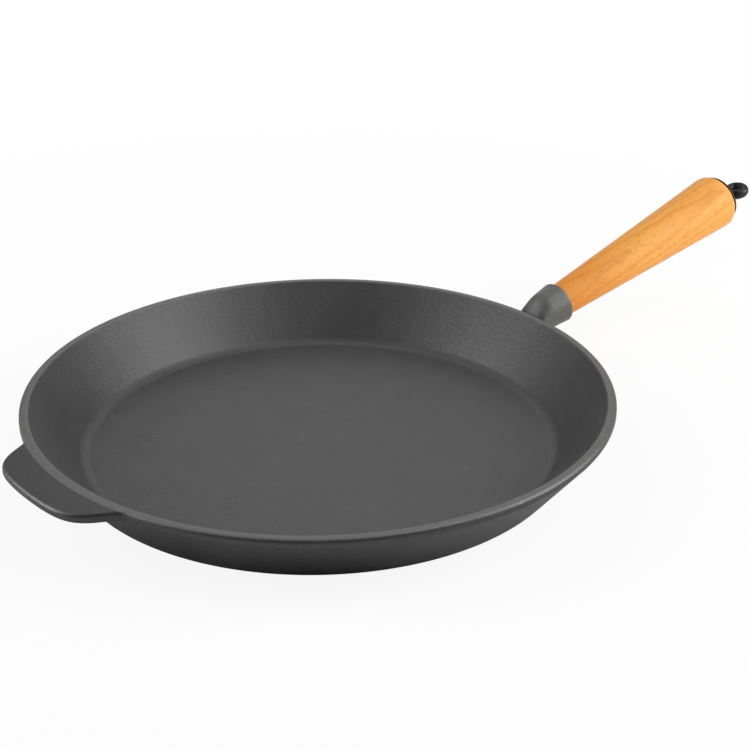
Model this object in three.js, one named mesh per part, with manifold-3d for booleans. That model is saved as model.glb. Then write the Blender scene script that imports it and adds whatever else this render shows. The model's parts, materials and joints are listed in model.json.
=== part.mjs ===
// Cast iron frying pan with a turned beech grip, held on by a tie rod and a hanging eye nut.
// Millimetres, +Z up. The origin is the centre of the base's underside, and the grip points along +X.
import * as THREE from 'three';
import { mergeVertices } from 'three/addons/utils/BufferGeometryUtils.js';
import Module from 'manifold-3d';

const wasm = await Module();
wasm.setup();

// Bowl
const RIM_RADIUS = 180;
const BASE_RADIUS = 151;
const PAN_HEIGHT = 39.5;
const FLOOR_THICKNESS = 4.5;
const FLOOR_INSET = 6.5;
const FLOOR_FILLET = 10;
const BASE_ROUND = 4;
const RIM_WIDTH = 5;
const RIM_BAND = 4;
const RIM_OUTER_ROUND = 2.4;
const RIM_INNER_ROUND = 1.2;

// Helper lobe, level with the rim and opposite the grip
const LOBE_REACH = 20.7;
const LOBE_ROOT_WIDTH = 112;
const LOBE_TIP_SQUARENESS = 6;
const LOBE_ROOT_SOFTNESS = 3;
const LOBE_THICKNESS = 5.5;
const LOBE_EDGE_ROUND = 1.8;
const LOBE_TOP_STEP = 0.3;

// Grip axis: how far it runs below the rim's top where it leaves the pan, and how steeply it climbs
const AXIS_DROP = 5.45;
const GRIP_RISE = THREE.MathUtils.degToRad(12.95);

// Cast socket and the fit of the grip in it, with stations measured along the grip axis from the rim
const SOCKET_ROOT = 22.5;
const SOCKET_REACH = 28.2;
const SOCKET_BORE_DEPTH = 18;
const SOCKET_WALL = 2.6;
const SOCKET_MOUTH_ROUND = 2.2;
const SOCKET_MOUTH_FLAT = 0.3;
const SCARF_HEIGHT = 24;
const FIT_GAP = 0.3;

// Turned beech grip
const SPIGOT_END_RADIUS = 9.4;
const GRIP_NECK_RADIUS = 11.4;
const GRIP_LENGTH = 167.7;
const GRIP_BUTT_RADIUS = 20;
const GRIP_BUTT_ROUND = 7;

// Tie rod, screwed into a blind hole at the bottom of the socket
const ROD_RADIUS = 3;
const ROD_CLEARANCE = 0.4;
const TAP_DEPTH = 13;

// Butt cap, a domed steel disc dished over the rounded butt, that swivels on the neck of the eye nut
const CAP_RADIUS = 17;
const CAP_SEAT_RADIUS = 13.5;
const CAP_DISH = 1.05;
const CAP_EDGE = 1.3;
const CAP_DOME = 1.1;

// Hanging eye nut, with a lip behind the cap that keeps the cap on it, and its eye a little below the axis
const NUT_NECK_RADIUS = 4.9;
const NUT_LIP_RADIUS = 6.2;
const NUT_LIP_THICKNESS = 1.4;
const NUT_COLLAR_RADIUS = 7;
const NUT_COLLAR_LENGTH = 2.6;
const NUT_SHANK_RADIUS = 5.2;
const NUT_SHANK_LENGTH = 9.1;
const NUT_BORE_END_WALL = 4;
const EYE_HOLE_RADIUS = 3.2;
const EYE_RING_WIDTH = 5.8;
const EYE_RING_DEPTH = 7;
const EYE_DROP = 3;

// Facets, and the largest share of an edge that a rounded corner takes
const BOWL_SIDES = 96;
const GRIP_SIDES = 40;
const ROD_SIDES = 24;
const RING_SIDES = 28;
const SECTION_SIDES = 12;
const ROUND_STEPS = 4;
const LOBE_STEPS = 40;
const ROUND_SHARE = 0.49;
const WELD = 1e-4;

// Stations along the grip axis
const boreBottom = SOCKET_REACH - SOCKET_BORE_DEPTH;
const buttEnd = SOCKET_REACH + GRIP_LENGTH;
const capInner = buttEnd + FIT_GAP;
const capOuter = capInner + CAP_EDGE + CAP_DOME;
const lipOuter = capInner - FIT_GAP;
const lipInner = lipOuter - NUT_LIP_THICKNESS;
const collarInner = capOuter + FIT_GAP;
const collarOuter = collarInner + NUT_COLLAR_LENGTH;
const shankEnd = collarOuter + NUT_SHANK_LENGTH;
const eyeCentre = shankEnd + EYE_RING_WIDTH / 2 + EYE_HOLE_RADIUS;
const nutBoreEnd = shankEnd - NUT_BORE_END_WALL;
const rodInner = boreBottom - TAP_DEPTH + FIT_GAP;
const rodOuter = nutBoreEnd - FIT_GAP;

const castIron = new THREE.MeshStandardMaterial({ color: 0x3b3d3c, roughness: 0.62, metalness: 0.7 });
const beech = new THREE.MeshStandardMaterial({ color: 0xe9a25a, roughness: 0.5, metalness: 0 });
const zincSteel = new THREE.MeshStandardMaterial({ color: 0x9a9c9e, roughness: 0.35, metalness: 1 });
const blackSteel = new THREE.MeshStandardMaterial({ color: 0x232324, roughness: 0.45, metalness: 0.8 });

// A corner of a turned profile: radius, height along the axis, and how much it is rounded
function corner(radius, height, round = 0) {
  return { point: new THREE.Vector2(radius, height), round };
}

// Profile points with each rounded corner drawn as an arc, kept within its two edges
function roundedProfile(corners) {
  const points = [];
  corners.forEach(({ point, round }, i) => {
    if (round === 0) {
      points.push(point);
      return;
    }
    const toLast = corners[i - 1].point.clone().sub(point);
    const toNext = corners[i + 1].point.clone().sub(point);
    const halfAngle = Math.acos(toLast.clone().normalize().dot(toNext.clone().normalize())) / 2;
    const longest = Math.min(toLast.length(), toNext.length()) * ROUND_SHARE;
    const setback = Math.min(round / Math.tan(halfAngle), longest);
    const radius = setback * Math.tan(halfAngle);
    const start = point.clone().addScaledVector(toLast.normalize(), setback);
    const end = point.clone().addScaledVector(toNext.normalize(), setback);
    const inward = toLast.clone().add(toNext).normalize();
    const centre = point.clone().addScaledVector(inward, radius / Math.sin(halfAngle));
    const from = start.sub(centre);
    const to = end.sub(centre);
    const sweep = Math.atan2(from.cross(to), from.dot(to));
    for (let step = 0; step <= ROUND_STEPS; step += 1) {
      const turned = from.clone().rotateAround(new THREE.Vector2(), (sweep * step) / ROUND_STEPS);
      points.push(turned.add(centre));
    }
  });
  return points;
}

// A closed geometry as a solid that can be joined and cut
function solid(geometry) {
  geometry.deleteAttribute('normal');
  geometry.deleteAttribute('uv');
  const welded = mergeVertices(geometry, WELD);
  const index = welded.index.array;
  const triVerts = [];
  for (let i = 0; i < index.length; i += 3) {
    const [a, b, c] = index.slice(i, i + 3);
    if (a !== b && b !== c && c !== a) triVerts.push(a, b, c);
  }
  const vertProperties = welded.attributes.position.array;
  return new wasm.Manifold(new wasm.Mesh({ numProp: 3, vertProperties, triVerts: new Uint32Array(triVerts) }));
}

// A profile turned about +Z; a ring's profile is closed on itself
function turned(corners, sides) {
  const points = roundedProfile(corners);
  const onAxis = points[0].x === 0;
  if (!onAxis) points.push(points[0].clone());
  return solid(new THREE.LatheGeometry(points, sides).rotateX(Math.PI / 2));
}

function placed(geometry, matrix) {
  return solid(geometry.applyMatrix4(matrix));
}

function meshOf(name, shape, material) {
  const { vertProperties, triVerts } = shape.getMesh();
  const geometry = new THREE.BufferGeometry();
  geometry.setAttribute('position', new THREE.BufferAttribute(vertProperties, 3));
  geometry.setIndex(new THREE.BufferAttribute(triVerts, 1));
  geometry.computeVertexNormals();
  const mesh = new THREE.Mesh(geometry, material);
  mesh.name = name;
  return mesh;
}

// Frame of the grip axis: its +Z runs out along the axis from the rim, its +Y is level
const axisFrame = new THREE.Matrix4()
  .makeTranslation(RIM_RADIUS, 0, PAN_HEIGHT - AXIS_DROP)
  .multiply(new THREE.Matrix4().makeRotationY(Math.PI / 2 - GRIP_RISE));

function alongAxis(shape) {
  return shape.transform(axisFrame.elements);
}

function bowl() {
  return turned([
    corner(0, 0),
    corner(BASE_RADIUS, 0, BASE_ROUND),
    corner(RIM_RADIUS, PAN_HEIGHT - RIM_BAND),
    corner(RIM_RADIUS, PAN_HEIGHT, RIM_OUTER_ROUND),
    corner(RIM_RADIUS - RIM_WIDTH, PAN_HEIGHT, RIM_INNER_ROUND),
    corner(BASE_RADIUS - FLOOR_INSET, FLOOR_THICKNESS, FLOOR_FILLET),
    corner(0, FLOOR_THICKNESS),
  ], BOWL_SIDES);
}

// Space kept clear of what joins the rim: inside the middle of the wall, and under a scarf above the rim's top
function bowlSpace() {
  const floorMiddle = BASE_RADIUS - FLOOR_INSET / 2;
  const rimMiddle = RIM_RADIUS - RIM_WIDTH / 2;
  const scarfFoot = PAN_HEIGHT - RIM_INNER_ROUND;
  return turned([
    corner(0, 0),
    corner(floorMiddle, 0),
    corner(rimMiddle, scarfFoot),
    corner(rimMiddle + SCARF_HEIGHT, scarfFoot + SCARF_HEIGHT),
    corner(0, scarfFoot + SCARF_HEIGHT),
  ], BOWL_SIDES);
}

// The lobe's outline swells from the rim in an S-curve on each side of a broad tip with round corners
function helperLobe() {
  const rimMiddle = RIM_RADIUS - RIM_WIDTH / 2;
  const tipRadius = RIM_RADIUS + LOBE_REACH;
  const rootAngle = Math.asin(LOBE_ROOT_WIDTH / 2 / RIM_RADIUS);
  const outline = new THREE.Shape();
  outline.absarc(0, 0, RIM_RADIUS - 2 * LOBE_THICKNESS, Math.PI + rootAngle, Math.PI - rootAngle, true);
  for (let step = 0; step <= LOBE_STEPS; step += 1) {
    const share = (2 * step) / LOBE_STEPS - 1;
    const angle = rootAngle * share;
    const outward = (1 - Math.abs(share) ** LOBE_TIP_SQUARENESS) ** LOBE_ROOT_SOFTNESS;
    const radius = rimMiddle + (tipRadius - rimMiddle) * outward;
    outline.lineTo(-radius * Math.cos(angle), -radius * Math.sin(angle));
  }
  const geometry = new THREE.ExtrudeGeometry(outline, {
    depth: LOBE_THICKNESS - 2 * LOBE_EDGE_ROUND,
    bevelThickness: LOBE_EDGE_ROUND,
    bevelSize: LOBE_EDGE_ROUND,
    bevelOffset: -LOBE_EDGE_ROUND,
    bevelSegments: ROUND_STEPS / 2,
    curveSegments: LOBE_STEPS / 2,
  });
  const bottom = PAN_HEIGHT - LOBE_TOP_STEP - LOBE_THICKNESS + LOBE_EDGE_ROUND;
  return placed(geometry, new THREE.Matrix4().makeTranslation(0, 0, bottom)).subtract(bowlSpace());
}

// Radius of the socket's outside, one wall outside the tapered bore
function socketRadius(station) {
  const taper = (GRIP_NECK_RADIUS - SPIGOT_END_RADIUS) / SOCKET_BORE_DEPTH;
  return SPIGOT_END_RADIUS + FIT_GAP + SOCKET_WALL + taper * (station - boreBottom);
}

// The socket's cone starts under the rim and is trimmed by the bowl's space
function socketBoss() {
  const innerEnd = -SOCKET_ROOT;
  const mouthRound = Math.min(SOCKET_MOUTH_ROUND, SOCKET_WALL - SOCKET_MOUTH_FLAT);
  const cone = alongAxis(turned([
    corner(0, innerEnd),
    corner(socketRadius(innerEnd), innerEnd),
    corner(socketRadius(SOCKET_REACH), SOCKET_REACH, mouthRound),
    corner(0, SOCKET_REACH),
  ], GRIP_SIDES));
  return cone.subtract(bowlSpace());
}

function panCasting() {
  const bore = alongAxis(turned([
    corner(0, boreBottom),
    corner(SPIGOT_END_RADIUS + FIT_GAP, boreBottom),
    corner(GRIP_NECK_RADIUS + FIT_GAP, SOCKET_REACH),
    corner(GRIP_NECK_RADIUS + FIT_GAP, SOCKET_REACH + SOCKET_WALL),
    corner(0, SOCKET_REACH + SOCKET_WALL),
  ], GRIP_SIDES));
  const tappedHole = alongAxis(turned([
    corner(0, boreBottom - TAP_DEPTH),
    corner(ROD_RADIUS + FIT_GAP, boreBottom - TAP_DEPTH),
    corner(ROD_RADIUS + FIT_GAP, SOCKET_REACH),
    corner(0, SOCKET_REACH),
  ], ROD_SIDES));
  return bowl().add(helperLobe()).add(socketBoss()).subtract(bore).subtract(tappedHole);
}

// The grip is a plain cone from the socket's mouth to the butt, with a spigot, a through bore and a counterbore
function woodGrip() {
  const boreRadius = ROD_RADIUS + ROD_CLEARANCE;
  const sinkRadius = NUT_LIP_RADIUS + ROD_CLEARANCE;
  const sinkBottom = lipInner - FIT_GAP;
  return alongAxis(turned([
    corner(boreRadius, boreBottom + FIT_GAP),
    corner(SPIGOT_END_RADIUS, boreBottom + FIT_GAP),
    corner(GRIP_NECK_RADIUS, SOCKET_REACH),
    corner(GRIP_BUTT_RADIUS, buttEnd, GRIP_BUTT_ROUND),
    corner(sinkRadius, buttEnd),
    corner(sinkRadius, sinkBottom),
    corner(boreRadius, sinkBottom),
  ], GRIP_SIDES));
}

function tieRod() {
  return alongAxis(turned([
    corner(0, rodInner),
    corner(ROD_RADIUS, rodInner),
    corner(ROD_RADIUS, rodOuter),
    corner(0, rodOuter),
  ], ROD_SIDES));
}

function buttCap() {
  const holeRadius = NUT_NECK_RADIUS + FIT_GAP;
  return alongAxis(turned([
    corner(holeRadius, capInner),
    corner(CAP_SEAT_RADIUS, capInner),
    corner(CAP_RADIUS, capInner - CAP_DISH),
    corner(CAP_RADIUS, capInner - CAP_DISH + CAP_EDGE),
    corner((CAP_RADIUS + NUT_COLLAR_RADIUS) / 2, capOuter),
    corner(holeRadius, capOuter),
  ], GRIP_SIDES));
}

function eyeNut() {
  const shank = turned([
    corner(0, lipInner),
    corner(NUT_LIP_RADIUS, lipInner),
    corner(NUT_LIP_RADIUS, lipOuter),
    corner(NUT_NECK_RADIUS, lipOuter),
    corner(NUT_NECK_RADIUS, collarInner),
    corner(NUT_COLLAR_RADIUS, collarInner),
    corner(NUT_COLLAR_RADIUS, collarOuter, NUT_COLLAR_LENGTH / 2),
    corner(NUT_SHANK_RADIUS, collarOuter),
    corner(NUT_SHANK_RADIUS, nutBoreEnd),
    corner(EYE_RING_WIDTH / 2, shankEnd),
    corner(0, shankEnd),
  ], ROD_SIDES);
  const ringRadius = EYE_HOLE_RADIUS + EYE_RING_WIDTH / 2;
  const ring = new THREE.TorusGeometry(ringRadius, EYE_RING_WIDTH / 2, SECTION_SIDES, RING_SIDES);
  const acrossAxis = new THREE.Matrix4()
    .makeTranslation(EYE_DROP, 0, eyeCentre)
    .multiply(new THREE.Matrix4().makeRotationY(Math.PI / 2))
    .multiply(new THREE.Matrix4().makeScale(1, 1, EYE_RING_DEPTH / EYE_RING_WIDTH));
  const bore = turned([
    corner(0, lipInner - FIT_GAP),
    corner(ROD_RADIUS + FIT_GAP, lipInner - FIT_GAP),
    corner(ROD_RADIUS + FIT_GAP, nutBoreEnd),
    corner(0, nutBoreEnd),
  ], ROD_SIDES);
  return alongAxis(shank.add(placed(ring, acrossAxis)).subtract(bore));
}

const fryingPan = new THREE.Group();
fryingPan.name = 'frying_pan';
fryingPan.add(meshOf('pan_casting', panCasting(), castIron));
fryingPan.add(meshOf('wood_grip', woodGrip(), beech));
fryingPan.add(meshOf('tie_rod', tieRod(), zincSteel));
fryingPan.add(meshOf('butt_cap', buttCap(), blackSteel));
fryingPan.add(meshOf('eye_nut', eyeNut(), blackSteel));

export default fryingPan;
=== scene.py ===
"""A cast iron frying pan with a helper lobe, a turned beech grip, a butt cap and a hanging eye nut."""
import json
import math

import bmesh
import bpy
from mathutils import Matrix, Vector


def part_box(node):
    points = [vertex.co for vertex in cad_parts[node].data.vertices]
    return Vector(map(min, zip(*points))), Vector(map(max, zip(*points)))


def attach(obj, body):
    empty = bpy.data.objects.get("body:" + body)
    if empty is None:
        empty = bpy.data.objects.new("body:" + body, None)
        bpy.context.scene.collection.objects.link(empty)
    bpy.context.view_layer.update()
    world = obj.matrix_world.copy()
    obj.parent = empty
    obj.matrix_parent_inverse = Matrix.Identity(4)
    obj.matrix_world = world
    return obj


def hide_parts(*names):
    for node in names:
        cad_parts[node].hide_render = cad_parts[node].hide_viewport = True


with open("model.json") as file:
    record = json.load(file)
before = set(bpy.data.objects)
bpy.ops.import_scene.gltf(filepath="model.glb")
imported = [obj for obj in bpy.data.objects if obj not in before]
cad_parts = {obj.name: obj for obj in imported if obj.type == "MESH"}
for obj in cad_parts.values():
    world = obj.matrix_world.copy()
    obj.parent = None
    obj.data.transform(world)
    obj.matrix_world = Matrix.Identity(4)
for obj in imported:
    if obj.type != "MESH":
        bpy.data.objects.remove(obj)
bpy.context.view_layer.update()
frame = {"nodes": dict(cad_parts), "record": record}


def named(entries, name):
    """The entry of one of the record's lists that has a name."""
    return next(entry for entry in entries if entry["name"] == name)


# Sizes taken from the frame, in metres
record = frame["record"]
pan_low, pan_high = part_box("pan_casting")
bowl_corner = named(record["physics"]["openings"], "bowl")["box_m"][1]
eye_joint = named(record["behaviour"]["joints"], "eye_turn")
RIM_RADIUS = pan_high.y
RIM_TOP = bowl_corner[2]
LOBE_REACH = -pan_low.x - RIM_RADIUS
CAP_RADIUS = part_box("butt_cap")[1].y
ROD_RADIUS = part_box("tie_rod")[1].y
GRIP_AXIS = Vector(eye_joint["axis"]).normalized()
EYE_CENTRE = Vector(eye_joint["pos_m"])

# Bowl
BASE_RADIUS = 0.151
BASE_ROUND = 0.004
FLOOR_THICKNESS = 0.0045
FLOOR_INSET = 0.0065
FLOOR_RADIUS = BASE_RADIUS - FLOOR_INSET
FLOOR_FILLET = 0.010
RIM_WIDTH = 0.005
RIM_BAND = 0.004
RIM_OUTER_ROUND = 0.0024
RIM_INNER_ROUND = 0.0012
WALL_MIDDLE = 0.0025
WALL_SLOPE = (RIM_RADIUS - BASE_RADIUS) / (RIM_TOP - RIM_BAND)

# Helper lobe
LOBE_ROOT_WIDTH = 0.112
LOBE_TIP_SQUARENESS = 6
LOBE_ROOT_SOFTNESS = 3
LOBE_THICKNESS = 0.0055
LOBE_RINGS = 6
LOBE_MARGIN_STEPS = 2

# Cast socket, with stations measured along the grip axis from the rim
SOCKET_ROOT = 0.0225
SOCKET_REACH = 0.0282
SOCKET_BORE_DEPTH = 0.018
SOCKET_WALL = 0.0026
SOCKET_MOUTH_ROUND = 0.0016
SOCKET_MOUTH_SINK = 0.0008
SOCKET_FLARE = 0.005
FLARE_SINK = 0.0006
SOCKET_RINGS = 28
WALL_HALVINGS = 24
SCARF_LENGTH = 0.012
SCARF_GROOVE = 0.0015
TAP_DEPTH = 0.013
FIT_GAP = 0.0003

# Turned beech grip
SPIGOT_END_RADIUS = 0.0094
GRIP_NECK_RADIUS = 0.0114
GRIP_LENGTH = 0.1677
GRIP_BUTT_RADIUS = 0.020
GRIP_BUTT_ROUND = 0.007
GRIP_RINGS = 24
ROD_CLEARANCE = 0.0004

# Butt cap
EDGE_BREAK = 0.0003
CAP_SEAT_RADIUS = 0.0135
CAP_DISH = 0.00105
CAP_EDGE = 0.0013
CAP_EDGE_ROUND = 0.0006
CAP_DOME = 0.0011
CAP_DOME_ROUND = 0.008

# Hanging eye nut
NUT_NECK_RADIUS = 0.0049
NUT_LIP_RADIUS = 0.0062
NUT_LIP_THICKNESS = 0.0014
NUT_COLLAR_RADIUS = 0.007
NUT_COLLAR_LENGTH = 0.0026
NUT_COLLAR_BREAK = 0.0004
NUT_COLLAR_ROUND = 0.001
NUT_SHANK_RADIUS = 0.0052
NUT_SHANK_LENGTH = 0.0091
NUT_SHANK_FILLET = 0.0006
NUT_SHOULDER_ROUND = 0.002
NUT_BORE_END_WALL = 0.004
NUT_END_ROUND = 0.0012
NUT_END_DOME = 0.0007
EYE_HOLE_RADIUS = 0.0032
EYE_RING_WIDTH = 0.0058
EYE_RING_DEPTH = 0.007
EYE_DROP = 0.003

# Fineness of the meshes
BOWL_STEPS = 384
TURNED_STEPS = 128
RING_STEPS = 96
EYE_SECTION_STEPS = 32
ROUND_STEPS = 8
WELD = 1e-6
CREASE_ANGLE = math.radians(40)
EYE_CREASE_ANGLE = math.radians(50)

# In the finishes below, colours are linear and a scale says how fine a pattern is. A band is the range of
# a pattern's values over which a tone comes in, up to a share. A relief's depth is in metres.

# Cast iron finish: its light specks are painted glints, its darker outside is painted shade, and its pale
# socket is a painted highlight
IRON_DARK = (0.016, 0.0168, 0.0162, 1)
IRON_GREY = (0.031, 0.032, 0.0308, 1)
IRON_PAINTED_GLINT = (0.085, 0.086, 0.083, 1)
IRON_RUBBED_AND_HIGHLIGHT = (0.095, 0.096, 0.093, 1)
IRON_OUTSIDE_SHADE = (0.0085, 0.0081, 0.0077, 1)
IRON_CLOUD_SCALE = 22
IRON_SMUDGE_SCALE = 75
IRON_PEBBLE_SCALE = 430
IRON_SAND_SCALE = 620
IRON_PIT_SCALE = 1500
IRON_SMUDGES = {"band": (0.35, 0.7), "share": 0.5}
IRON_PAINTED_GLINTS = {"band": (0.62, 0.8), "share": 0.6}
IRON_PITS = {"band": (0.34, 0.24), "share": 0.5}
IRON_OUTSIDE_SHADE_SHARE = 0.7
IRON_OUTSIDE_BLUR = 0.0005
IRON_RUBBED_AND_HIGHLIGHT_SHARE = 0.85
IRON_RUBBED_EDGE = 0.0001
IRON_CLOUD_BAND = (0.3, 0.7)
IRON_ROUGHNESS = (0.43, 0.49)
IRON_SAND_BAND = (0.3, 0.8)
IRON_SAND_ROUGHNESS = (-0.03, 0.06)
IRON_SPECULAR = 0.8
IRON_CLOUD_RELIEF = {"depth": 0.0008, "strength": 0.1}
IRON_PEBBLE_RELIEF = {"depth": 0.0004, "strength": 0.2}
IRON_SAND_RELIEF = {"depth": 0.0003, "strength": 0.3}

# Beech finish, with stretches along the grip and across it
BEECH_PALE = (0.88, 0.425, 0.102, 1)
BEECH_DEEP = (0.83, 0.35, 0.064, 1)
BEECH_NECK = (0.74, 0.245, 0.03, 1)
BEECH_RING = (0.64, 0.21, 0.028, 1)
BEECH_RAY = (0.56, 0.18, 0.024, 1)
HEART_TURN = (0, math.radians(5), math.radians(3))
HEART_SHIFT = (0, 0.022, -0.018)
RING_SCALE = 62
FIBRE_STRETCH = (70, 1300, 1300)
RAY_STRETCH = (210, 1500, 1500)
STREAK_STRETCH = (9, 150, 150)
NECK_TONE_LENGTH = 0.085
NECK_TONE_SHARE = 0.75
BEECH_RINGS = {"band": (0.5, 1.0), "share": 0.5}
BEECH_FIBRES = {"band": (0.48, 0.7), "share": 0.7}
BEECH_RAYS = {"band": (0.55, 0.7), "share": 0.55}
BEECH_FIBRE_BAND = (0.3, 0.7)
BEECH_ROUGHNESS = (0.45, 0.58)
BEECH_SPECULAR = 0.22
FIBRE_RELIEF = {"depth": 0.0002, "strength": 0.25}
RAY_RELIEF = {"depth": 0.0002, "strength": 0.2}

# Black steel finish
STEEL_BLACK = (0.006, 0.006, 0.006, 1)
STEEL_BROWN = (0.02, 0.014, 0.012, 1)
STEEL_GREY = (0.03, 0.028, 0.027, 1)
DENT_SCALE = 240
BLOOM_SCALE = 130
FORGE_SCALE = 420
STEEL_BLOOM = {"band": (0.45, 0.7), "share": 0.8}
STEEL_FORGING = {"band": (0.6, 0.8), "share": 0.6}
STEEL_FORGING_BAND = (0.3, 0.7)
STEEL_ROUGHNESS = (0.36, 0.55)
STEEL_SPECULAR = 0.3
DENT_RELIEF = {"depth": 0.0008, "strength": 0.3}
FORGING_RELIEF = {"depth": 0.0003, "strength": 0.4}

# Rod steel finish; a band wave of scale 1 runs through 20 radians in a metre
ROD_DULL = (0.38, 0.38, 0.39, 1)
ROD_BRIGHT = (0.58, 0.58, 0.58, 1)
OIL_SCALE = 300
OIL_BAND = (0.3, 0.7)
ROD_ROUGHNESS = (0.28, 0.45)
THREAD_PITCH = 0.001
THREAD_RELIEF = {"depth": 0.0006, "strength": 0.8}
WAVE_RADIANS = 20

# Places of the colour sockets on a Mix node
MIX_FIRST = 6
MIX_SECOND = 7
MIX_RESULT = 2

# Studio: the view looks ahead along a level line, and lamps stand on both sides of it
VIEW_TURN = math.radians(-39.6)
VIEW_AHEAD = (-math.sin(VIEW_TURN), math.cos(VIEW_TURN), 0)
VIEW_RIGHT = (math.cos(VIEW_TURN), math.sin(VIEW_TURN), 0)
PURE_WHITE = (1, 1, 1, 1)
FLOOR_SIZE = 6
FLOOR_DROP = 0.0002
FLOOR_WHITE = (0.9, 0.9, 0.9, 1)
FLOOR_ROUGHNESS = 0.9
FLOOR_GLOW = 0.9
SHADOW_FADE = (0.35, 0.8)
ROOM_LIGHT = 0.1
BACKDROP_SIDES = (0, 0.5)
BACKDROP_RISE = (0.2, 0.9)

# Lamps: how far each stands to the right, ahead and up, in metres, and its power in watts
LAMP_AIM = (0.05, 0, 0.03)
LAMP_SIZE = 0.9
LAMPS = (
    ("left_lamp", -1.45, 0, 0.68, 17),
    ("right_lamp", 1.45, 0, 0.68, 20),
    ("left_high_lamp", -0.8, 0, 1.39, 2),
    ("right_high_lamp", 0.8, 0, 1.39, 7),
    ("back_lamp", 0, 1.55, 0.45, 2),
)

# Camera, with its look down in degrees, and its sensor and lens in millimetres
CAMERA_SPOT = (-0.5345, -0.69955, 0.46162)
CAMERA_LOOK_DOWN = 25.2
CAMERA_TILT = math.radians(90 - CAMERA_LOOK_DOWN)
CAMERA_ROLL = math.radians(-0.22)
CAMERA_SENSOR = 36
CAMERA_LENS = 76.8

# Stations along the grip axis
bore_bottom = SOCKET_REACH - SOCKET_BORE_DEPTH
butt_end = SOCKET_REACH + GRIP_LENGTH
cap_inner = butt_end + FIT_GAP
cap_outer = cap_inner + CAP_EDGE + CAP_DOME
lip_inner = butt_end - NUT_LIP_THICKNESS
collar_inner = cap_outer + FIT_GAP
collar_outer = collar_inner + NUT_COLLAR_LENGTH
shank_end = collar_outer + NUT_SHANK_LENGTH
nut_bore_end = shank_end - NUT_BORE_END_WALL

# The grip axis starts where it passes the rim's radius. Its frame has +Z along the axis and +Y level.
axis_start = EYE_CENTRE - GRIP_AXIS * ((EYE_CENTRE.x - RIM_RADIUS) / GRIP_AXIS.x)
grip_rise = math.atan2(GRIP_AXIS.z, GRIP_AXIS.x)
axis_frame = Matrix.Translation(axis_start) @ Matrix.Rotation(math.pi / 2 - grip_rise, 4, "Y")
eye_station = (EYE_CENTRE - axis_start).dot(GRIP_AXIS)


def round_corner(mesh, vert, radius):
    """Rounds one corner of a profile that is still only edges."""
    one, other = [edge.other_vert(vert).co - vert.co for edge in vert.link_edges]
    setback = radius / math.tan(one.angle(other) / 2)
    bmesh.ops.bevel(mesh, geom=[vert], offset=setback, offset_type="ABSOLUTE", segments=ROUND_STEPS,
                    profile=0.5, affect="VERTICES", material=-1)


def close_up(mesh):
    """Merges doubles, drops faces without area and turns every face outwards."""
    bmesh.ops.remove_doubles(mesh, verts=mesh.verts, dist=WELD)
    bmesh.ops.dissolve_degenerate(mesh, edges=mesh.edges, dist=WELD)
    bmesh.ops.recalc_face_normals(mesh, faces=mesh.faces)


def turned(corners, steps, ring=False, cuts=0):
    """A profile of (radius, station, rounding) corners turned about Z; cuts divides its longest edge."""
    mesh = bmesh.new()
    verts = [mesh.verts.new((radius, 0, station)) for radius, station, rounding in corners]
    for pair in zip(verts, verts[1:]):
        mesh.edges.new(pair)
    if ring:
        mesh.edges.new((verts[-1], verts[0]))
    for vert, (radius, station, rounding) in zip(verts, corners):
        if rounding:
            round_corner(mesh, vert, rounding)
    if cuts:
        longest = max(mesh.edges, key=lambda edge: edge.calc_length())
        bmesh.ops.subdivide_edges(mesh, edges=[longest], cuts=cuts)
    bmesh.ops.spin(mesh, geom=mesh.verts[:] + mesh.edges[:], cent=(0, 0, 0), axis=(0, 0, 1),
                   angle=2 * math.pi, steps=steps, use_merge=True)
    close_up(mesh)
    return mesh


def piece(name, mesh):
    """An object at the origin that holds the finished mesh."""
    data = bpy.data.meshes.new(name)
    mesh.to_mesh(data)
    mesh.free()
    made = bpy.data.objects.new(name, data)
    bpy.context.scene.collection.objects.link(made)
    return made


def combine(body, tool, operation):
    """Joins the tool to the body or cuts it out, and uses the tool up."""
    modifier = body.modifiers.new("combine", "BOOLEAN")
    modifier.operation = operation
    modifier.solver = "MANIFOLD"
    modifier.object = tool
    shape = body.evaluated_get(bpy.context.evaluated_depsgraph_get())
    data = bpy.data.meshes.new_from_object(shape)
    body.modifiers.clear()
    mesh = bmesh.new()
    mesh.from_mesh(data)
    close_up(mesh)
    mesh.to_mesh(data)
    mesh.free()
    body.data = data
    bpy.data.objects.remove(tool)


def shade(made, crease):
    """Smooth faces, with edges sharper than the crease angle left hard."""
    made.data.shade_smooth()
    made.data.set_sharp_from_angle(angle=crease)


def wall_radius(height):
    """Outer radius of the bowl at a height."""
    return min(RIM_RADIUS, BASE_RADIUS + WALL_SLOPE * height)


def smoothstep(low, high, value):
    """How far a value is between two others, from 0 to 1, with a soft start and end."""
    share = min(1, max(0, (value - low) / (high - low)))
    return share * share * (3 - 2 * share)


def bowl_mesh():
    """The bowl alone, from the middle of its underside round the rim to the middle of its floor."""
    lobe_bottom = RIM_TOP - LOBE_THICKNESS
    return turned([
        (0, 0, 0),
        (BASE_RADIUS, 0, BASE_ROUND),
        (wall_radius(lobe_bottom), lobe_bottom, 0),
        (RIM_RADIUS, RIM_TOP - RIM_BAND, 0),
        (RIM_RADIUS, RIM_TOP, RIM_OUTER_ROUND),
        (RIM_RADIUS - RIM_WIDTH, RIM_TOP, RIM_INNER_ROUND),
        (FLOOR_RADIUS, FLOOR_THICKNESS, FLOOR_FILLET),
        (0, FLOOR_THICKNESS, 0),
    ], BOWL_STEPS)


def lobe_angle(point):
    """Angle round the pan from the middle of the helper lobe."""
    return math.atan2(point.y, -point.x)


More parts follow.
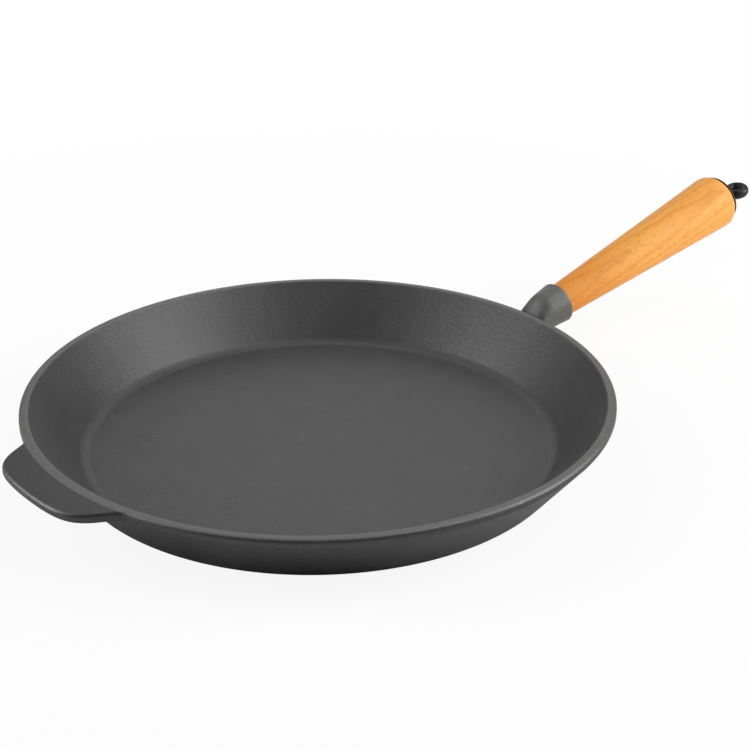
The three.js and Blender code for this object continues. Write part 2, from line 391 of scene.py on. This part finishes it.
def draw_out_lobe(mesh):
    """Pulls the rim's outer band outwards, opposite the grip, in an S-curve on each side of a broad tip."""
    root_angle = math.asin(LOBE_ROOT_WIDTH / 2 / RIM_RADIUS)
    band_radius = RIM_RADIUS - RIM_OUTER_ROUND - WELD
    reach_angle = root_angle + LOBE_MARGIN_STEPS * 2 * math.pi / BOWL_STEPS
    faces = []
    for face in mesh.faces:
        centre = face.calc_center_median()
        on_band = centre.z > RIM_TOP - LOBE_THICKNESS and centre.xy.length > band_radius
        if on_band and abs(lobe_angle(centre)) < reach_angle:
            faces.append(face)
    for ring in range(LOBE_RINGS):
        drawn = bmesh.ops.extrude_face_region(mesh, geom=faces)["geom"]
        bmesh.ops.delete(mesh, geom=faces, context="FACES")
        faces = [part for part in drawn if isinstance(part, bmesh.types.BMFace)]
        for vert in {vert for face in faces for vert in face.verts}:
            share = min(1, abs(lobe_angle(vert.co)) / root_angle)
            outward = (1 - share ** LOBE_TIP_SQUARENESS) ** LOBE_ROOT_SOFTNESS
            vert.co += Vector((vert.co.x, vert.co.y, 0)).normalized() * outward * LOBE_REACH / LOBE_RINGS
    close_up(mesh)


def socket_radius(station):
    """Radius of the socket's outside, one wall outside its tapered bore."""
    taper = (GRIP_NECK_RADIUS - SPIGOT_END_RADIUS) / SOCKET_BORE_DEPTH
    return SPIGOT_END_RADIUS + FIT_GAP + SOCKET_WALL + taper * (station - bore_bottom)


def on_axis(radius, angle, station):
    """A point given round the grip axis, in the pan's frame."""
    return axis_frame @ Vector((radius * math.cos(angle), radius * math.sin(angle), station))


def wall_station(share, angle):
    """Station where a line of the socket's skin, or of the axis, meets the middle of the bowl's wall."""
    low = -SOCKET_ROOT
    high = SOCKET_REACH
    for halving in range(WALL_HALVINGS):
        middle = (low + high) / 2
        point = on_axis(share * socket_radius(middle), angle, middle)
        if point.xy.length < wall_radius(point.z) - WALL_MIDDLE:
            low = middle
        else:
            high = middle
    return low


def flared(radius, angle, station):
    """Swells the socket's foot into the wall in a fillet that fades out towards the rim's top."""
    point = on_axis(radius, angle, station)
    clear = max(0, point.xy.length - wall_radius(point.z) + FLARE_SINK) / SOCKET_FLARE
    rise = 1 - math.sqrt(1 - max(0, 1 - clear) ** 2)
    below_rim = 1 - smoothstep(RIM_TOP - SOCKET_FLARE, RIM_TOP, point.z)
    return on_axis(radius + SOCKET_FLARE * rise * below_rim, angle, station)


def scarfed(point):
    """Flattens the socket's upper half towards the pan, down to a shallow groove behind the rim."""
    axis_height = axis_start.z + (point.x - RIM_RADIUS) * math.tan(grip_rise)
    rise = point.z - axis_height
    if rise <= 0:
        return point
    flattest = (RIM_TOP - SCARF_GROOVE - axis_start.z) / socket_radius(0)
    share = min(1, max(0, (point.xy.length - RIM_RADIUS) / SCARF_LENGTH))
    height = axis_height + rise * (flattest + (1 - flattest) * math.sin(share * math.pi / 2))
    return Vector((point.x, point.y, height))


def socket_mesh():
    """The cast socket without its bore: a turned plug, moulded on to the bowl's wall."""
    shoulder = SOCKET_REACH - SOCKET_MOUTH_ROUND
    mesh = turned([
        (0, -SOCKET_ROOT, 0),
        (socket_radius(-SOCKET_ROOT), -SOCKET_ROOT, 0),
        (socket_radius(SOCKET_REACH), SOCKET_REACH, SOCKET_MOUTH_ROUND),
        (0, SOCKET_REACH, 0),
    ], TURNED_STEPS, cuts=SOCKET_RINGS)
    for vert in mesh.verts:
        angle = math.atan2(vert.co.y, vert.co.x)
        radius = vert.co.xy.length
        station = vert.co.z
        share = min(1, (station + SOCKET_ROOT) / (shoulder + SOCKET_ROOT))
        # What lies below the shoulder is squeezed along the axis, so that the plug starts in the wall
        if share < 1:
            filled = radius / socket_radius(station)
            start = wall_station(filled, angle)
            station = start + share * (shoulder - start)
            radius = filled * socket_radius(station)
        vert.co = scarfed(flared(radius, angle, station))
    bmesh.ops.recalc_face_normals(mesh, faces=mesh.faces)
    return mesh


def socket_bore_mesh():
    """What is bored out of the casting: the socket's taper and the tapped hole under it."""
    tap_radius = ROD_RADIUS + FIT_GAP
    mouth_radius = GRIP_NECK_RADIUS + FIT_GAP
    mesh = turned([
        (0, bore_bottom - TAP_DEPTH, 0),
        (tap_radius, bore_bottom - TAP_DEPTH, 0),
        (tap_radius, bore_bottom, 0),
        (SPIGOT_END_RADIUS + FIT_GAP, bore_bottom, 0),
        (mouth_radius, SOCKET_REACH - SOCKET_MOUTH_SINK, 0),
        (mouth_radius + SOCKET_MOUTH_SINK, SOCKET_REACH, 0),
        (mouth_radius + SOCKET_MOUTH_SINK, SOCKET_REACH + SOCKET_WALL, 0),
        (0, SOCKET_REACH + SOCKET_WALL, 0),
    ], TURNED_STEPS)
    mesh.transform(axis_frame)
    return mesh


def make_pan_casting():
    """The bowl, the helper lobe and the bored socket, in one pour."""
    mesh = bowl_mesh()
    draw_out_lobe(mesh)
    casting = piece("cast_pan", mesh)
    combine(casting, piece("socket", socket_mesh()), "UNION")
    combine(casting, piece("socket_bore", socket_bore_mesh()), "DIFFERENCE")
    shade(casting, CREASE_ANGLE)
    return casting


def make_wood_grip():
    """A plain cone from the socket's mouth to the butt, with a spigot, a through bore and a counterbore."""
    bore_radius = ROD_RADIUS + ROD_CLEARANCE
    sink_radius = NUT_LIP_RADIUS + ROD_CLEARANCE
    sink_bottom = lip_inner - FIT_GAP
    mesh = turned([
        (bore_radius, bore_bottom + FIT_GAP, 0),
        (SPIGOT_END_RADIUS, bore_bottom + FIT_GAP, 0),
        (GRIP_NECK_RADIUS, SOCKET_REACH, 0),
        (GRIP_BUTT_RADIUS, butt_end, GRIP_BUTT_ROUND),
        (sink_radius, butt_end, 0),
        (sink_radius, sink_bottom, 0),
        (bore_radius, sink_bottom, 0),
    ], TURNED_STEPS, ring=True, cuts=GRIP_RINGS)
    mesh.transform(axis_frame)
    grip = piece("beech_grip", mesh)
    shade(grip, CREASE_ANGLE)
    return grip


def make_butt_cap():
    """A domed disc, dished underneath to follow the butt, with a hole for the nut's neck."""
    hole_radius = NUT_NECK_RADIUS + FIT_GAP
    mesh = turned([
        (hole_radius, cap_inner, 0),
        (CAP_SEAT_RADIUS, cap_inner, 0),
        (CAP_RADIUS, cap_inner - CAP_DISH, EDGE_BREAK),
        (CAP_RADIUS, cap_inner - CAP_DISH + CAP_EDGE, CAP_EDGE_ROUND),
        ((CAP_RADIUS + NUT_COLLAR_RADIUS) / 2, cap_outer, CAP_DOME_ROUND),
        (hole_radius, cap_outer, EDGE_BREAK),
    ], TURNED_STEPS, ring=True)
    mesh.transform(axis_frame)
    cap = piece("domed_butt_cap", mesh)
    shade(cap, CREASE_ANGLE)
    return cap


def eye_ring_mesh():
    """The eye itself: an oval section turned about an axis across the nut."""
    mesh = bmesh.new()
    section = bmesh.ops.create_circle(mesh, segments=EYE_SECTION_STEPS, radius=EYE_RING_WIDTH / 2)["verts"]
    bmesh.ops.scale(mesh, verts=section, vec=(EYE_RING_DEPTH / EYE_RING_WIDTH, 1, 1))
    ring_radius = EYE_HOLE_RADIUS + EYE_RING_WIDTH / 2
    bmesh.ops.translate(mesh, verts=section, vec=(0, ring_radius, 0))
    bmesh.ops.spin(mesh, geom=mesh.verts[:] + mesh.edges[:], cent=(0, 0, 0), axis=(1, 0, 0),
                   angle=2 * math.pi, steps=RING_STEPS, use_merge=True)
    close_up(mesh)
    bmesh.ops.translate(mesh, verts=mesh.verts, vec=(EYE_DROP, 0, eye_station))
    return mesh


def nut_bore_mesh():
    """What is bored out of the eye nut for the tie rod."""
    bore_radius = ROD_RADIUS + FIT_GAP
    bore_start = lip_inner - FIT_GAP
    return turned([
        (0, bore_start, 0),
        (bore_radius, bore_start, 0),
        (bore_radius, nut_bore_end, 0),
        (0, nut_bore_end, 0),
    ], RING_STEPS)


def make_eye_nut():
    """A lip, neck, collar and shank in one turned piece, with the eye joined to its end."""
    mesh = turned([
        (0, lip_inner, 0),
        (NUT_LIP_RADIUS, lip_inner, EDGE_BREAK),
        (NUT_LIP_RADIUS, butt_end, EDGE_BREAK),
        (NUT_NECK_RADIUS, butt_end, 0),
        (NUT_NECK_RADIUS, collar_inner, 0),
        (NUT_COLLAR_RADIUS, collar_inner, NUT_COLLAR_BREAK),
        (NUT_COLLAR_RADIUS, collar_outer, NUT_COLLAR_ROUND),
        (NUT_SHANK_RADIUS, collar_outer, NUT_SHANK_FILLET),
        (NUT_SHANK_RADIUS, nut_bore_end, NUT_SHOULDER_ROUND),
        (EYE_RING_WIDTH / 2, shank_end, NUT_END_ROUND),
        (0, shank_end + NUT_END_DOME, 0),
    ], RING_STEPS)
    nut = piece("eye_nut_forging", mesh)
    combine(nut, piece("eye_ring", eye_ring_mesh()), "UNION")
    combine(nut, piece("nut_bore", nut_bore_mesh()), "DIFFERENCE")
    nut.data.transform(axis_frame)
    shade(nut, EYE_CREASE_ANGLE)
    return nut


def new_material(name):
    """A material with nothing but a principled shader, and that shader."""
    material = bpy.data.materials.new(name)
    material.use_nodes = True
    nodes = material.node_tree.nodes
    nodes.clear()
    output = nodes.new("ShaderNodeOutputMaterial")
    shader = nodes.new("ShaderNodeBsdfPrincipled")
    material.node_tree.links.new(shader.outputs["BSDF"], output.inputs["Surface"])
    return material, shader


def join(owner, value, socket):
    """Sets a socket to a value, or links it to an output; the owner is a material or the world."""
    if isinstance(value, bpy.types.NodeSocket):
        owner.node_tree.links.new(value, socket)
    else:
        socket.default_value = value


def node(owner, kind, settings=None, **inputs):
    """A node with its settings, and with its inputs set to values or linked to other nodes' outputs."""
    made = owner.node_tree.nodes.new(kind)
    for setting, value in (settings or {}).items():
        setattr(made, setting, value)
    for name, value in inputs.items():
        join(owner, value, made.inputs[name.replace("_", " ")])
    return made


def reckoned(owner, operation, first, second):
    """One step of arithmetic on two values."""
    made = node(owner, "ShaderNodeMath", {"operation": operation})
    for value, socket in zip((first, second), made.inputs):
        join(owner, value, socket)
    return made.outputs["Value"]


def reckoned_vector(owner, operation, *vectors):
    """One step of arithmetic on vectors; the outputs of its node hold the answer."""
    made = node(owner, "ShaderNodeVectorMath", {"operation": operation})
    for vector, socket in zip(vectors, made.inputs):
        join(owner, vector, socket)
    return made.outputs


def spread(owner, value, band, target=(0, 1)):
    """A value carried softly from a band into a target range, and held at its ends."""
    made = node(owner, "ShaderNodeMapRange", {"interpolation_type": "SMOOTHSTEP"}, Value=value,
                From_Min=band[0], From_Max=band[1], To_Min=target[0], To_Max=target[1])
    return made.outputs["Result"]


def object_place(owner):
    """Object coordinates."""
    return node(owner, "ShaderNodeTexCoord").outputs["Object"]


def placed(owner, vector, turn=(0, 0, 0), shift=(0, 0, 0), stretch=(1, 1, 1)):
    """Coordinates that are stretched, turned and then shifted."""
    return node(owner, "ShaderNodeMapping", Vector=vector, Rotation=turn, Location=shift,
                Scale=stretch).outputs["Vector"]


def grip_place(owner):
    """Object coordinates turned so that X runs along the grip axis, where Y and Z are 0."""
    axis_height = axis_start.z * math.cos(grip_rise) - axis_start.x * math.sin(grip_rise)
    return placed(owner, object_place(owner), turn=(0, grip_rise, 0), shift=(0, 0, -axis_height))


def noise(owner, vector, scale, detail=2, roughness=0.5):
    """A cloudy pattern."""
    return node(owner, "ShaderNodeTexNoise", Vector=vector, Scale=scale, Detail=detail,
                Roughness=roughness).outputs["Fac"]


def blend(owner, share, first, second):
    """Two colours mixed by a share."""
    made = node(owner, "ShaderNodeMix", {"data_type": "RGBA"}, Factor=share)
    join(owner, first, made.inputs[MIX_FIRST])
    join(owner, second, made.inputs[MIX_SECOND])
    return made.outputs[MIX_RESULT]


def toned(owner, colour, tone, pattern, band, share):
    """A colour with a tone laid on where a pattern's values pass through a band, up to a share."""
    return blend(owner, spread(owner, pattern, band, (0, share)), colour, tone)


def raised(owner, pattern, depth, strength, under=None):
    """The normal of a bump in metres, laid over another one."""
    made = node(owner, "ShaderNodeBump", Height=pattern, Distance=depth, Strength=strength)
    if under:
        join(owner, under, made.inputs["Normal"])
    return made.outputs["Normal"]


def iron_outside(material, place, height):
    """1 on the bowl's outside, the helper lobe and the socket, and 0 inside the middle of the wall."""
    level = reckoned_vector(material, "MULTIPLY", place, (1, 1, 0))["Vector"]
    radius = reckoned_vector(material, "LENGTH", level)["Value"]
    lean = reckoned(material, "SUBTRACT", radius, reckoned(material, "MULTIPLY", height, WALL_SLOPE))
    middle = BASE_RADIUS - WALL_MIDDLE
    return spread(material, lean, (middle - IRON_OUTSIDE_BLUR, middle + IRON_OUTSIDE_BLUR))


def make_cast_iron():
    """Seasoned sand-cast iron: pebbled and cloudy, painted glints, painted shade outside, a rim rubbed
    paler and a painted highlight on the socket.
    """
    material, shader = new_material("seasoned_cast_iron")
    place = object_place(material)
    clouds = noise(material, place, IRON_CLOUD_SCALE, detail=4, roughness=0.6)
    smudges = noise(material, place, IRON_SMUDGE_SCALE, detail=3)
    sand = noise(material, place, IRON_SAND_SCALE, detail=3, roughness=0.6)
    pits = noise(material, place, IRON_PIT_SCALE, detail=1)
    pebbles = node(material, "ShaderNodeTexVoronoi", {"feature": "SMOOTH_F1"}, Vector=place,
                   Scale=IRON_PEBBLE_SCALE, Smoothness=0.6, Randomness=1).outputs["Distance"]
    across = node(material, "ShaderNodeSeparateXYZ", Vector=place).outputs
    outside = iron_outside(material, place, across["Z"])
    top = spread(material, across["Z"], (RIM_TOP - RIM_INNER_ROUND, RIM_TOP - IRON_RUBBED_EDGE))
    rim = reckoned(material, "SUBTRACT", top, outside)
    colour = blend(material, clouds, IRON_DARK, IRON_GREY)
    colour = toned(material, colour, IRON_GREY, smudges, **IRON_SMUDGES)
    # Painted glints: light specks laid on where the sand pattern peaks
    colour = toned(material, colour, IRON_PAINTED_GLINT, sand, **IRON_PAINTED_GLINTS)
    colour = toned(material, colour, IRON_DARK, pits, **IRON_PITS)
    # Painted shade: the outside of the bowl, the helper lobe and the socket are darkened
    painted_shade_share = reckoned(material, "MULTIPLY", outside, IRON_OUTSIDE_SHADE_SHARE)
    colour = blend(material, painted_shade_share, colour, IRON_OUTSIDE_SHADE)
    # The rim's top is rubbed paler from wear
    colour = toned(material, colour, IRON_RUBBED_AND_HIGHLIGHT, rim, (0, 1), IRON_RUBBED_AND_HIGHLIGHT_SHARE)
    # Painted highlight: the same pale tone over the socket beyond the rim, fading in across the flare
    socket_highlight_band = (RIM_RADIUS, RIM_RADIUS + SOCKET_FLARE)
    colour = toned(material, colour, IRON_RUBBED_AND_HIGHLIGHT, across["X"], socket_highlight_band, IRON_RUBBED_AND_HIGHLIGHT_SHARE)
    join(material, colour, shader.inputs["Base Color"])
    roughness = reckoned(material, "ADD", spread(material, clouds, IRON_CLOUD_BAND, IRON_ROUGHNESS),
                         spread(material, sand, IRON_SAND_BAND, IRON_SAND_ROUGHNESS))
    join(material, roughness, shader.inputs["Roughness"])
    shader.inputs["Specular IOR Level"].default_value = IRON_SPECULAR
    normal = raised(material, clouds, **IRON_CLOUD_RELIEF)
    normal = raised(material, pebbles, **IRON_PEBBLE_RELIEF, under=normal)
    normal = raised(material, sand, **IRON_SAND_RELIEF, under=normal)
    join(material, normal, shader.inputs["Normal"])
    return material


def make_beech():
    """Oiled beech: growth rings cut at a slant, long fibres, short dark rays and a deeper neck."""
    material, shader = new_material("oiled_beech")
    place = grip_place(material)
    heart = placed(material, place, turn=HEART_TURN, shift=HEART_SHIFT)
    rings = node(material, "ShaderNodeTexWave",
                 {"wave_type": "RINGS", "rings_direction": "X", "wave_profile": "SAW"},
                 Vector=heart, Scale=RING_SCALE, Distortion=2.2, Detail=2, Detail_Scale=0.7,
                 Detail_Roughness=0.55).outputs["Fac"]
    fibre_place = placed(material, place, stretch=FIBRE_STRETCH)
    fibres = noise(material, fibre_place, scale=1, detail=3, roughness=0.65)
    ray_place = placed(material, place, stretch=RAY_STRETCH)
    rays = noise(material, ray_place, scale=1, detail=1)
    streak_place = placed(material, place, stretch=STREAK_STRETCH)
    streaks = noise(material, streak_place, scale=1, detail=3, roughness=0.6)
    along = node(material, "ShaderNodeSeparateXYZ", Vector=place).outputs["X"]
    neck_place = axis_start.dot(GRIP_AXIS) + SOCKET_REACH
    neck = spread(material, along, (neck_place + NECK_TONE_LENGTH, neck_place))
    colour = blend(material, streaks, BEECH_DEEP, BEECH_PALE)
    colour = blend(material, reckoned(material, "MULTIPLY", neck, NECK_TONE_SHARE), colour, BEECH_NECK)
    colour = toned(material, colour, BEECH_RING, rings, **BEECH_RINGS)
    colour = toned(material, colour, BEECH_DEEP, fibres, **BEECH_FIBRES)
    colour = toned(material, colour, BEECH_RAY, rays, **BEECH_RAYS)
    join(material, colour, shader.inputs["Base Color"])
    roughness = spread(material, fibres, BEECH_FIBRE_BAND, BEECH_ROUGHNESS)
    join(material, roughness, shader.inputs["Roughness"])
    shader.inputs["Specular IOR Level"].default_value = BEECH_SPECULAR
    normal = raised(material, fibres, **FIBRE_RELIEF)
    normal = raised(material, rays, **RAY_RELIEF, under=normal)
    join(material, normal, shader.inputs["Normal"])
    return material


def make_black_steel():
    """Blackened steel with forge scale, and a brown bloom where it is worn."""
    material, shader = new_material("blackened_steel")
    place = object_place(material)
    forging = noise(material, place, FORGE_SCALE, detail=4, roughness=0.6)
    bloom = noise(material, place, BLOOM_SCALE, detail=3)
    dents = noise(material, place, DENT_SCALE, detail=1)
    colour = toned(material, STEEL_BLACK, STEEL_BROWN, bloom, **STEEL_BLOOM)
    colour = toned(material, colour, STEEL_GREY, forging, **STEEL_FORGING)
    join(material, colour, shader.inputs["Base Color"])
    roughness = spread(material, forging, STEEL_FORGING_BAND, STEEL_ROUGHNESS)
    join(material, roughness, shader.inputs["Roughness"])
    shader.inputs["Specular IOR Level"].default_value = STEEL_SPECULAR
    normal = raised(material, dents, **DENT_RELIEF)
    normal = raised(material, forging, **FORGING_RELIEF, under=normal)
    join(material, normal, shader.inputs["Normal"])
    return material


def make_rod_steel():
    """Plain drawn steel with the thread's ridges along the grip axis."""
    material, shader = new_material("plain_steel")
    place = grip_place(material)
    thread_scale = 2 * math.pi / WAVE_RADIANS / THREAD_PITCH
    thread = node(material, "ShaderNodeTexWave", {"wave_type": "BANDS", "bands_direction": "X"},
                  Vector=place, Scale=thread_scale, Distortion=0).outputs["Fac"]
    oil = noise(material, place, OIL_SCALE, detail=3)
    join(material, blend(material, oil, ROD_DULL, ROD_BRIGHT), shader.inputs["Base Color"])
    shader.inputs["Metallic"].default_value = 1
    roughness = spread(material, oil, OIL_BAND, ROD_ROUGHNESS)
    join(material, roughness, shader.inputs["Roughness"])
    join(material, raised(material, thread, **THREAD_RELIEF), shader.inputs["Normal"])
    return material


def coat(made, material):
    """Gives a piece its only material."""
    made.data.materials.clear()
    made.data.materials.append(material)


def finish_piece(made, body, cad_node, material):
    """Coats a new piece and puts it in the place of its CAD node."""
    coat(made, material)
    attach(made, body)
    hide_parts(cad_node)


def background_share(owner, shown):
    """How far the white background is seen: wholly by the camera, and where it is shown in reflections."""
    path = node(owner, "ShaderNodeLightPath").outputs
    mirrored = reckoned(owner, "MAXIMUM", path["Is Glossy Ray"], path["Is Transmission Ray"])
    reflected = reckoned(owner, "MULTIPLY", mirrored, shown)
    return reckoned(owner, "MAXIMUM", path["Is Camera Ray"], reflected)


def make_floor():
    """A white floor that keeps the pan's soft shadow, and mirrors white away from the pan."""
    mesh = bmesh.new()
    bmesh.ops.create_grid(mesh, x_segments=1, y_segments=1, size=FLOOR_SIZE)
    bmesh.ops.translate(mesh, verts=mesh.verts, vec=(0, 0, -FLOOR_DROP))
    floor = piece("studio_floor", mesh)
    material, shader = new_material("white_floor")
    shader.inputs["Base Color"].default_value = FLOOR_WHITE
    shader.inputs["Roughness"].default_value = FLOOR_ROUGHNESS
    shader.inputs["Specular IOR Level"].default_value = 0
    distance = reckoned_vector(material, "LENGTH", object_place(material))["Value"]
    clear_of_pan = spread(material, distance, SHADOW_FADE)
    white = spread(material, distance, SHADOW_FADE, (FLOOR_GLOW, 1))
    share = reckoned(material, "MULTIPLY", background_share(material, clear_of_pan), white)
    glow = node(material, "ShaderNodeEmission", Color=PURE_WHITE, Strength=1)
    mixed = node(material, "ShaderNodeMixShader")
    for value, socket in zip((share, shader.outputs["BSDF"], glow.outputs["Emission"]), mixed.inputs):
        join(material, value, socket)
    join(material, mixed.outputs["Shader"], material.node_tree.nodes["Material Output"].inputs["Surface"])
    coat(floor, material)


def make_world():
    """White where it is looked at, white behind the pan in reflections, and a dim even light elsewhere."""
    world = bpy.data.worlds.new("studio")
    world.use_nodes = True
    direction = node(world, "ShaderNodeTexCoord").outputs["Generated"]
    ahead = reckoned_vector(world, "DOT_PRODUCT", direction, VIEW_AHEAD)["Value"]
    height = node(world, "ShaderNodeSeparateXYZ", Vector=direction).outputs["Z"]
    backdrop = reckoned(world, "MULTIPLY", spread(world, ahead, BACKDROP_SIDES),
                        spread(world, height, BACKDROP_RISE))
    white = background_share(world, backdrop)
    background = world.node_tree.nodes["Background"]
    background.inputs["Color"].default_value = PURE_WHITE
    join(world, spread(world, white, (0, 1), (ROOM_LIGHT, 1)), background.inputs["Strength"])
    bpy.context.scene.world = world


def make_lamp(name, spot, power):
    """A soft square lamp at a spot, turned to the pan."""
    data = bpy.data.lights.new(name, "AREA")
    data.shape = "SQUARE"
    data.size = LAMP_SIZE
    data.energy = power
    lamp = bpy.data.objects.new(name, data)
    direction = Vector(LAMP_AIM) - spot
    lamp.matrix_world = Matrix.Translation(spot) @ direction.to_track_quat("-Z", "Y").to_matrix().to_4x4()
    bpy.context.scene.collection.objects.link(lamp)


def make_lamps():
    """The lamps, each at its place to the right, ahead and up in the camera's view."""
    for name, right, ahead, up, power in LAMPS:
        spot = right * Vector(VIEW_RIGHT) + ahead * Vector(VIEW_AHEAD) + Vector((0, 0, up))
        make_lamp(name, spot, power)


def make_camera():
    """The photograph's view: a long lens that looks down at the pan from beside the helper lobe."""
    data = bpy.data.cameras.new("camera")
    data.sensor_width = CAMERA_SENSOR
    data.lens = CAMERA_LENS
    camera = bpy.data.objects.new("camera", data)
    turn = Matrix.Rotation(VIEW_TURN, 4, "Z")
    tilt = Matrix.Rotation(CAMERA_TILT, 4, "X")
    roll = Matrix.Rotation(CAMERA_ROLL, 4, "Z")
    camera.matrix_world = Matrix.Translation(CAMERA_SPOT) @ turn @ tilt @ roll
    bpy.context.scene.collection.objects.link(camera)
    bpy.context.scene.camera = camera


bpy.context.scene.view_settings.view_transform = "Standard"
cast_iron = make_cast_iron()
beech = make_beech()
black_steel = make_black_steel()
finish_piece(make_pan_casting(), "pan", "pan_casting", cast_iron)
finish_piece(make_wood_grip(), "pan", "wood_grip", beech)
finish_piece(make_butt_cap(), "cap", "butt_cap", black_steel)
finish_piece(make_eye_nut(), "eye", "eye_nut", black_steel)
coat(frame["nodes"]["tie_rod"], make_rod_steel())
make_floor()
make_world()
make_lamps()
make_camera()
